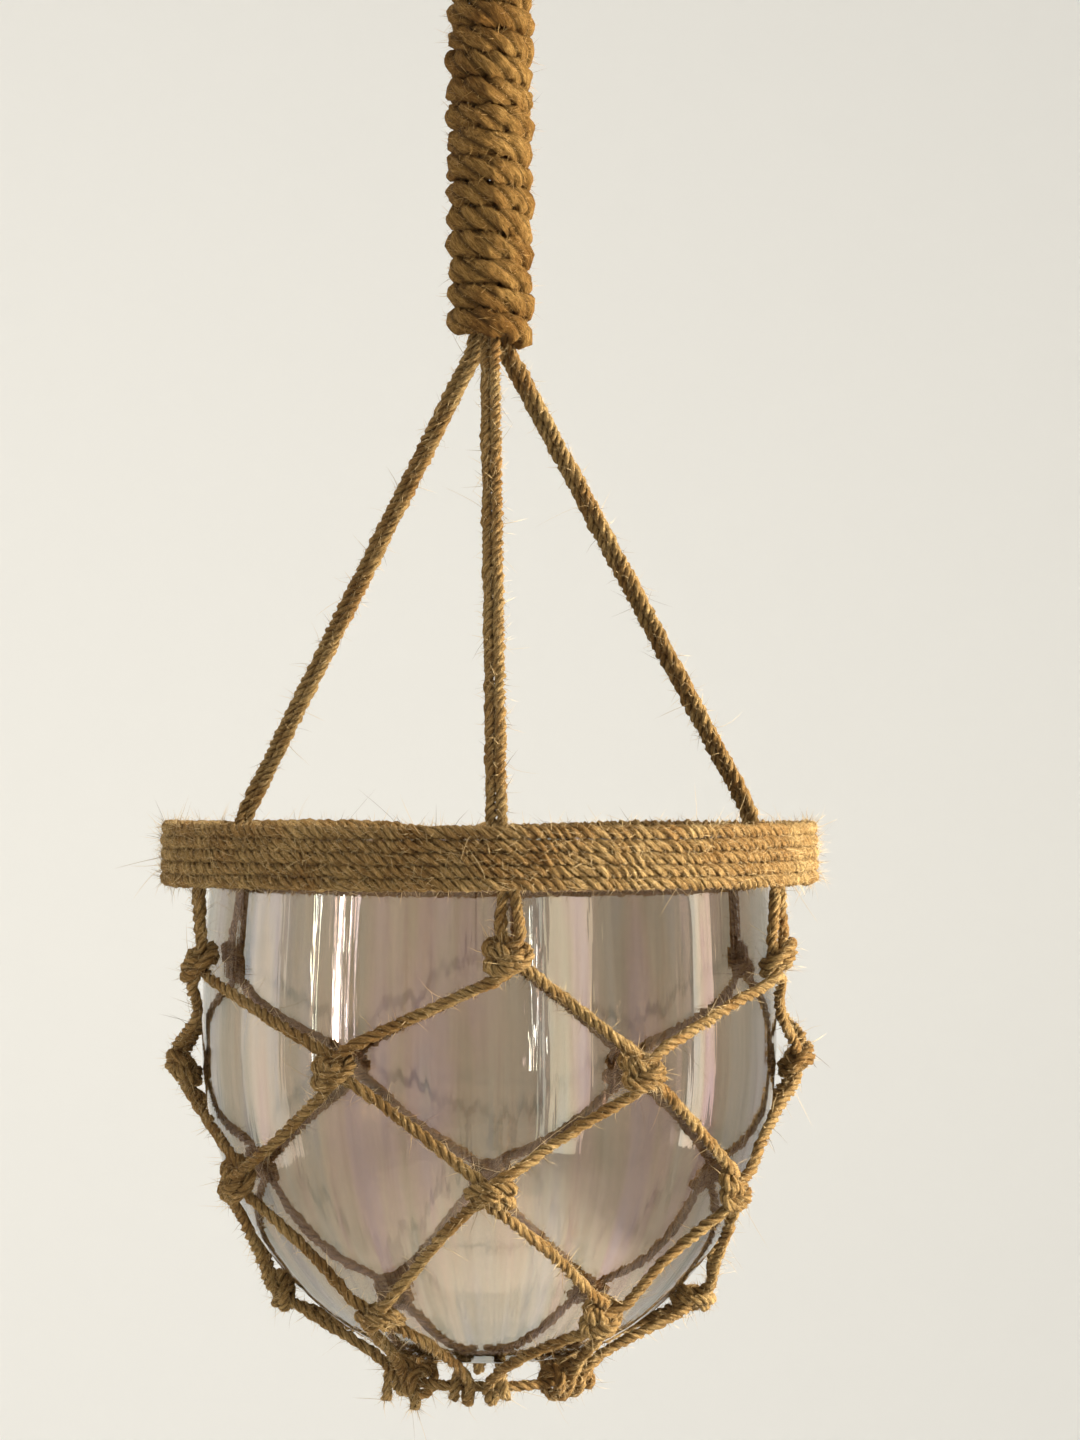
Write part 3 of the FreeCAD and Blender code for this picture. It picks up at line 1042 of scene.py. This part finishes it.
def glass_profile():
    """The bowl's outline as (radius, level) points, from the middle of the base round to the floor."""

    def wall(stand_off, low, count):
        levels = [low + (glass_rim - low) * index / count for index in range(count + 1)]
        return [Vector((wall_radius(level, stand_off), level)) for level in levels]

    outer = wall(0, glass_base, wall_rows)
    inner = wall(-glass_wall, glass_base + glass_floor, wall_rows)
    lip_radius = glass_wall / 2
    middle = mouth_radius - lip_radius
    lip = []
    for index in range(1, lip_steps):
        turn = math.pi * index / lip_steps
        lip.append(Vector((middle + lip_radius * math.cos(turn), glass_rim + lip_radius * math.sin(turn))))
    base_middle = Vector((0, glass_base))
    floor_middle = Vector((0, glass_base + glass_floor))
    base_steps = [base_middle + (outer[0] - base_middle) * share for share in (0, *flat_rings)]
    floor_steps = [floor_middle + (inner[0] - floor_middle) * share for share in (*flat_rings[::-1], 0)]
    heel = rounded(base_steps[-1], outer[0], outer[1], heel_round)
    floor_corner = rounded(inner[1], inner[0], floor_steps[0], floor_round)
    return base_steps + heel + outer[1:] + lip + inner[:0:-1] + floor_corner + floor_steps


def glass_bowl(material):
    """The blown bowl: its wall waves a little, in streaks that run up it."""
    profile = glass_profile()
    vertices = []
    for point in profile[1:-1]:
        for index in range(glass_segments):
            angle = 360 * index / glass_segments
            streak = noise.noise(outward(angle) * streak_rate + up(point.y / streak_length))
            swell = noise.noise(outward(angle) * swell_rate + up(point.y / swell_length + swell_start))
            share = min(1.0, point.x / belly_radius * wave_fade)
            radius = point.x + glass_wave * share * (streak + swell)
            vertices.append(outward(angle) * radius + up(point.y))
    vertices += [up(profile[0].y), up(profile[-1].y)]
    rings = len(profile) - 2
    faces = ring_faces(rings, glass_segments) + end_faces(rings, glass_segments)
    piece = new_piece("bowl_glass", [tuple(vertex) for vertex in vertices], faces, material)
    around = [(*unit(np.array(vertex.to_2d()) + nearly_nothing), vertex.z / belly_radius)
              for vertex in vertices]
    give(piece, "around", "POINT", np.array(around))
    return piece


# Studio


def room(material):
    """A round pale room with a floor that sweeps up into its wall."""
    wall_distance = 4200.0
    floor_level = -2100.0
    floor_middle = 1.0
    wall_top = 3200.0
    sweep = 1500.0
    sweep_steps = 12
    segments = 96
    flat = wall_distance - sweep
    profile = [Vector((floor_middle, floor_level)), Vector((flat, floor_level))]
    for index in range(1, sweep_steps + 1):
        turn = math.pi / 2 * index / sweep_steps
        profile.append(Vector((flat + sweep * math.sin(turn), floor_level + sweep * (1 - math.cos(turn)))))
    profile.append(Vector((wall_distance, wall_top)))
    vertices = [tuple(outward(360 * index / segments) * point.x + up(point.y))
                for point in profile for index in range(segments)]
    faces = [face[::-1] for face in ring_faces(len(profile), segments)]
    new_piece("studio_room", vertices, faces, material)


def lamp(name, angle, distance, level, size, power, colour, tilt=0.0, mirrored=True):
    """A soft upright panel of light that faces the axis, by its angle from the front.

    Distance, level and size are in metres. One that isn't mirrored makes no highlight on the glass.
    """
    data = bpy.data.lights.new(name, "AREA")
    data.shape = "RECTANGLE"
    data.size, data.size_y = size
    data.energy = power
    data.color = colour
    panel = bpy.data.objects.new(name, data)
    panel.location = outward(angle) * distance + up(level)
    aim = Vector((0, 0, level - math.tan(math.radians(tilt)) * distance))
    panel.rotation_euler = (aim - panel.location).to_track_quat("-Z", "Y").to_euler()
    panel.visible_glossy = mirrored
    panel.visible_transmission = mirrored
    bpy.context.scene.collection.objects.link(panel)


def sky(lit, seen):
    """A white world that lights at one strength and is seen, also in the glass, at another."""
    world = bpy.data.worlds.new("studio")
    world.use_nodes = True
    nodes, links = world.node_tree.nodes, world.node_tree.links
    rays = nodes.new("ShaderNodeLightPath")
    looks = rays.outputs["Is Camera Ray"]
    for ray in ("Is Glossy Ray", "Is Transmission Ray"):
        either = nodes.new("ShaderNodeMath")
        either.operation = "MAXIMUM"
        links.new(looks, either.inputs[0])
        links.new(rays.outputs[ray], either.inputs[1])
        looks = either.outputs[0]
    strength = nodes.new("ShaderNodeMapRange")
    strength.inputs["To Min"].default_value = lit
    strength.inputs["To Max"].default_value = seen
    links.new(looks, strength.inputs["Value"])
    background = nodes["Background"]
    background.inputs["Color"].default_value = (1, 1, 1, 1)
    links.new(strength.outputs[0], background.inputs["Strength"])
    return world


def camera():
    """The photograph's view: level with the bowl, a little to the right of its axis."""
    view_distance = 1.310
    view_right = 0.020
    horizon_level = -0.3802
    long_side_pixels = 1440
    horizon_below_centre = 70
    sensor_width = 36.0
    lens_length = 81.9
    data = bpy.data.cameras.new("camera")
    data.sensor_width = sensor_width
    data.lens = lens_length
    data.shift_y = horizon_below_centre / long_side_pixels
    viewer = bpy.data.objects.new("camera", data)
    viewer.location = (view_right, -view_distance, horizon_level)
    viewer.rotation_euler = (math.pi / 2, 0, 0)
    bpy.context.scene.collection.objects.link(viewer)
    bpy.context.scene.camera = viewer


# Build


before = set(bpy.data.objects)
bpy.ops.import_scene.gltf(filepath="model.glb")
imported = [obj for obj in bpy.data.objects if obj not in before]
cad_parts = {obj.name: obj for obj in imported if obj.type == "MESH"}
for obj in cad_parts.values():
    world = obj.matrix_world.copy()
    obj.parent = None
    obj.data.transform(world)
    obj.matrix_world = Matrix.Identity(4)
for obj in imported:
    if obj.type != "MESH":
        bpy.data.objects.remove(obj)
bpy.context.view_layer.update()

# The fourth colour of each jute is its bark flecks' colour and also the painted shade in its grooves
cord_material = jute("jute_cord", (234, 200, 138), (184, 142, 80), (116, 78, 34), (58, 36, 13))
rope_material = jute("jute_rope", (200, 157, 90), (149, 110, 56), (86, 58, 24), (42, 27, 10))
fibre_material = fibre("jute_fibre", (226, 194, 138), (110, 80, 44))
rope_fibre_material = fibre("rope_fibre", (208, 164, 98), (88, 58, 26))

bowl = glass_bowl(lustred_glass("lustred_glass"))
finished(bowl, "glass", "glass_bowl")

net_routes = {
    "hanger_cord_front": long_cord(("front", 0, False, 5), ("front", 0, True, 0)),
    "hanger_cord_middle": long_cord(("left", 4, True, 4), ("right", 2, False, 1)),
    "hanger_cord_back": long_cord(("left", 4, False, 3), ("right", 2, True, 2)),
    "hoop_cord_right": hoop_cord(1),
    "hoop_cord_back": hoop_cord(3),
    "hoop_cord_left": hoop_cord(5),
    "base_ring": base_ring_route(),
}
cord_size = (cord_diameter, cord_diameter)
net_lines = []
for node, route in net_routes.items():
    closed = node == "base_ring"
    line = spline_line(route, cord_step, closed)
    net_lines.append(line)
    piece = twisted_cord(f"jute_{node}", line, cord_size, cord_pitch, cord_material, closed=closed)
    finished(piece, "jute_cord", node)

binding_line = spline_line(binding_route(), cord_step)
binding_size = [cord_diameter * share for share in binding_fullness]
piece = twisted_cord("jute_rim_binding", binding_line, binding_size, cord_pitch, cord_material,
                     about_axis=True)
finished(piece, "jute_cord", "rim_binding")

column_line = spline_line(column_route(), rope_step)
rope_size = (rope_depth * rope_fullness[0], rope_height * rope_fullness[1])
piece = twisted_cord("jute_rope_column", column_line, rope_size, rope_pitch, rope_material, about_axis=True)
finished(piece, "jute_rope", "rope_column")

# Each row: piece, lines, seed, fibres in a millimetre, kind
loose_fibres = [
    ("fuzz_net_0", net_lines[:2], 11, 1.3, long_fibre),
    ("nap_net_0", net_lines[:2], 21, 4.0, nap_fibre),
    ("fuzz_net_1", net_lines[2:], 12, 1.3, long_fibre),
    ("nap_net_1", net_lines[2:], 22, 4.0, nap_fibre),
    ("fuzz_binding", [binding_line], 13, 2.6, long_fibre),
    ("nap_binding", [binding_line], 23, 6.5, nap_fibre),
    ("fuzz_column", [column_line], 14, 3.4, rope_fibre),
    ("nap_column", [column_line], 24, 12.0, nap_fibre),
    ("loose_loops", net_lines + [binding_line], 15, 0.1, loop_fibre),
]
for name, lines, seed, per_mm, kind in loose_fibres:
    if lines[0] is column_line:
        material, width, slot = rope_fibre_material, rope_depth, "jute_rope"
    else:
        material, width, slot = fibre_material, cord_diameter, "jute_cord"
    finished(fuzz(name, lines, seed, per_mm, kind, material, width), slot)

# The cords' cut ends have opened into tufts
tail_ends = []
for line in net_lines[:-1]:
    tail_ends += [line[:tuft_points][::-1], line[-tuft_points:]]
tufts = fuzz("tail_tufts", tail_ends, 16, 16.0, tuft_fibre, fibre_material, tuft_width, combed=True)
finished(tufts, "jute_cord")

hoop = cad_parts["rim_hoop"]
hoop.data.materials.clear()
hoop.data.materials.append(cane("bent_cane"))

room(pale_paint("pale_wall"))
lamp("window_right", 84, 1.5, -0.45, (0.22, 1.0), 85, (1.0, 0.96, 0.91), mirrored=False)
lamp("window_high", 60, 1.9, 1.6, (0.7, 0.5), 24, (1.0, 0.97, 0.93), tilt=46, mirrored=False)
lamp("window_left", -58, 1.6, -0.25, (0.14, 0.75), 4, (0.95, 0.97, 1.0))
lamp("window_line", -71, 1.7, -0.2, (0.03, 1.0), 0.8, (1.0, 1.0, 0.95))
lamp("wall_left", -98, 1.5, -0.3, (0.7, 1.9), 2.8, (0.93, 0.9, 0.98))
lamp("wall_right", 91, 1.5, -0.3, (0.3, 1.7), 2.4, (1.0, 0.93, 0.9))
lamp("window_thread", 18, 1.9, -0.42, (0.02, 0.5), 0.3, (1.0, 1.0, 1.0))
lamp("wall_front", 31, 2.2, -0.6, (0.7, 2.4), 5.0, (0.97, 1.0, 0.93))
lamp("ceiling", 0, 0.3, 2.2, (2.4, 2.4), 16, (1.0, 1.0, 1.0), tilt=83)

scene = bpy.context.scene
scene.view_settings.view_transform = "Standard"
scene.world = sky(0.38, 0.84)
camera()
